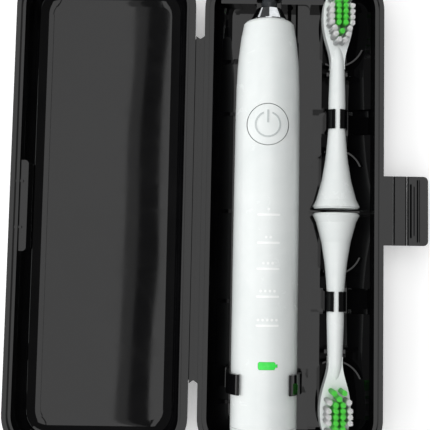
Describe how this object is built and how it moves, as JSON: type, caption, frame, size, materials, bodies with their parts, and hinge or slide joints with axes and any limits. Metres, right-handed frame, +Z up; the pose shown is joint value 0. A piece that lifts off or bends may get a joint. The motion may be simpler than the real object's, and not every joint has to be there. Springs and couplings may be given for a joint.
{
  "type": "sonic toothbrush in travel case",
  "caption": "White sonic toothbrush handle and two brush heads clipped into an open black hinged travel case with a side latch.",
  "frame": {"origin": "centre of the open case's footprint, on the surface it lies on", "axes": "+Y along the case towards the drive shaft's tip, +X from the lid towards the latch, +Z up"},
  "size_m": [0.179, 0.209, 0.0315],
  "materials": {
    "case_plastic": "gloss moulded polypropylene, black",
    "white_plastic": "smooth white ABS",
    "white_soft": "soft white silicone skin",
    "grey_print": "pale grey printed power symbol",
    "white_print": "gloss white raised print",
    "seal_rubber": "grey silicone rubber",
    "shaft_steel": "ground stainless steel",
    "can_steel": "drawn steel, zinc plated",
    "copper": "enamelled copper wire",
    "magnet": "sintered magnet, nickel plated",
    "bronze": "sintered bronze bearing",
    "chassis_plastic": "grey glass filled nylon",
    "cell_wrap": "shrink wrapped cell",
    "board": "green solder mask",
    "nickel": "nickel plated spring steel",
    "lamp": "green lit light guide",
    "nylon_green": "green nylon filament",
    "nylon_white": "white nylon filament"
  },
  "bodies": {
    "case": {"case_base": "case_plastic", "case_tray": "case_plastic"},
    "strip": {"hinge_strip": "case_plastic"},
    "lid": {"case_lid": "case_plastic"},
    "spine": {"latch_spine": "case_plastic"},
    "flap": {"latch_flap": "case_plastic"},
    "handle": {"handle_housing": "white_plastic", "mode_marks": "white_print", "battery_window": "lamp", "nose_insert": "shaft_steel", "shaft_seal": "seal_rubber", "motor_can": "can_steel", "motor_coil": "copper", "front_plate": "can_steel", "front_bearing": "bronze", "rear_plate": "can_steel", "rear_bearing": "bronze", "chassis": "chassis_plastic", "battery_cell": "cell_wrap", "battery_contact_plus": "nickel", "battery_contact_minus": "nickel", "circuit_board": "board", "power_switch": "nickel", "mode_lamps": "lamp", "charge_coil": "copper", "end_cap": "white_plastic", "cap_seal": "seal_rubber"},
    "button": {"power_button": "white_soft", "power_symbol": "grey_print"},
    "shaft": {"drive_shaft": "shaft_steel", "rotor_magnet": "magnet"},
    "upper_head": {"upper_head_shell": "white_plastic", "upper_head_ring": "white_plastic", "upper_head_sleeve": "chassis_plastic", "upper_tufts_green": "nylon_green", "upper_tufts_white": "nylon_white"},
    "lower_head": {"lower_head_shell": "white_plastic", "lower_head_ring": "white_plastic", "lower_head_sleeve": "chassis_plastic", "lower_tufts_green": "nylon_green", "lower_tufts_white": "nylon_white"},
    "handle_clip_left": {"handle_clip_left": "case_plastic"},
    "handle_clip_right": {"handle_clip_right": "case_plastic"},
    "upper_clip_left": {"upper_clip_left": "case_plastic"},
    "upper_clip_right": {"upper_clip_right": "case_plastic"},
    "lower_clip_left": {"lower_clip_left": "case_plastic"},
    "lower_clip_right": {"lower_clip_right": "case_plastic"}
  },
  "joints": [
    {"name": "hinge_fold_base", "type": "hinge", "parent": "case", "child": "strip", "pos_m": [-0.00765, 0.0008, 0.0171], "axis": [0, 1, 0], "range_deg": [0, 90]},
    {"name": "hinge_fold_lid", "type": "hinge", "parent": "strip", "child": "lid", "pos_m": [-0.01155, 0.0008, 0.0171], "axis": [0, 1, 0], "range_deg": [0, 90]},
    {"name": "latch_fold", "type": "hinge", "parent": "case", "child": "spine", "pos_m": [0.07445, 0.0003, 0.0188], "axis": [0, -1, 0], "range_deg": [0, 130]},
    {"name": "latch_flap_fold", "type": "hinge", "parent": "spine", "child": "flap", "pos_m": [0.08035, 0.0003, 0.01735], "axis": [0, 1, 0], "range_deg": [0, 40], "stiffness_Nm_per_rad": 0.004, "springref_deg": -1.15},
    {"name": "handle_lift", "type": "slide", "parent": "case", "child": "handle", "axis": [0, 0, -1], "range_m": [-0.014, 0]},
    {"name": "button_press", "type": "slide", "parent": "handle", "child": "button", "axis": [0, 0, -1], "range_m": [0, 0.0004], "stiffness_N_per_m": 600, "springref_m": -0.0006},
    {"name": "shaft_swing", "type": "hinge", "parent": "handle", "child": "shaft", "pos_m": [0.0202, 0.06, 0.0174], "axis": [0, 1, 0], "range_deg": [-5, 5], "stiffness_Nm_per_rad": 0.3},
    {"name": "handle_clip_left_flex", "type": "hinge", "parent": "case", "child": "handle_clip_left", "pos_m": [0.005, -0.0725, 0.00625], "axis": [0, -1, 0], "range_deg": [0, 26]},
    {"name": "handle_clip_right_flex", "type": "hinge", "parent": "case", "child": "handle_clip_right", "pos_m": [0.0354, -0.0725, 0.00625], "axis": [0, 1, 0], "range_deg": [0, 26]},
    {"name": "upper_head_lift", "type": "slide", "parent": "case", "child": "upper_head", "axis": [0, 0, -1], "range_m": [-0.005, 0]},
    {"name": "upper_clip_left_flex", "type": "hinge", "parent": "case", "child": "upper_clip_left", "pos_m": [0.0461, 0.0397, 0.00325], "axis": [0, -1, 0], "range_deg": [0, 28]},
    {"name": "upper_clip_right_flex", "type": "hinge", "parent": "case", "child": "upper_clip_right", "pos_m": [0.0547, 0.0397, 0.00325], "axis": [0, 1, 0], "range_deg": [0, 28]},
    {"name": "lower_head_lift", "type": "slide", "parent": "case", "child": "lower_head", "axis": [0, 0, -1], "range_m": [-0.005, 0]},
    {"name": "lower_clip_left_flex", "type": "hinge", "parent": "case", "child": "lower_clip_left", "pos_m": [0.0461, -0.0386, 0.00325], "axis": [0, -1, 0], "range_deg": [0, 28]},
    {"name": "lower_clip_right_flex", "type": "hinge", "parent": "case", "child": "lower_clip_right", "pos_m": [0.0547, -0.0386, 0.00325], "axis": [0, 1, 0], "range_deg": [0, 28]}
  ],
  "couplings": [
    {"joint": "handle_clip_left_flex", "follows": "handle_lift", "rad_per_m": -31.416},
    {"joint": "handle_clip_right_flex", "follows": "handle_lift", "rad_per_m": -31.416},
    {"joint": "upper_clip_left_flex", "follows": "upper_head_lift", "rad_per_m": -95.993},
    {"joint": "upper_clip_right_flex", "follows": "upper_head_lift", "rad_per_m": -95.993},
    {"joint": "lower_clip_left_flex", "follows": "lower_head_lift", "rad_per_m": -95.993},
    {"joint": "lower_clip_right_flex", "follows": "lower_head_lift", "rad_per_m": -95.993}
  ]
}
